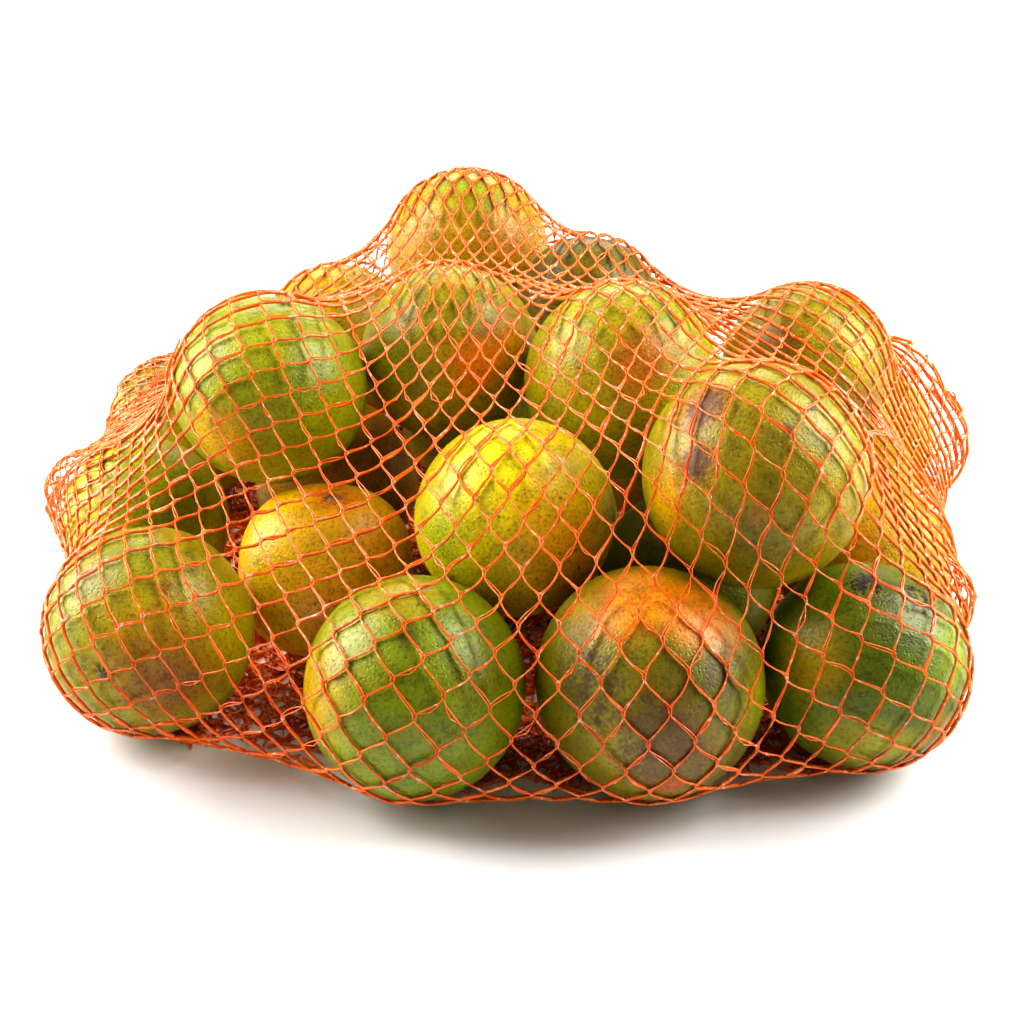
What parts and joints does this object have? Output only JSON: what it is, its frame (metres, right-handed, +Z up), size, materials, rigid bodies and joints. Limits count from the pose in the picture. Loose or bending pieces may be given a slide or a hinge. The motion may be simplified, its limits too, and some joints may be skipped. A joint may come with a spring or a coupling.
{
  "type": "net of oranges",
  "caption": "Mesh sack filled with oranges, lying on its side and spread into a low two-layer heap, for groceries, market stalls and kitchens.",
  "frame": {"origin": "middle of the flat underside that the sack lies on", "axes": "+X to the right and +Z up as seen from the shown front, which faces -Y; the gathered neck is at the +Y side"},
  "size_m": [0.39, 0.3854, 0.1442],
  "materials": {
    "net": "knitted polythene tape, bright orange-red",
    "peel": "waxy pored peel, green through yellow to orange with brown scars"
  },
  "bodies": {
    "root": {"net_of_oranges": "net"}
  },
  "joints": []
}
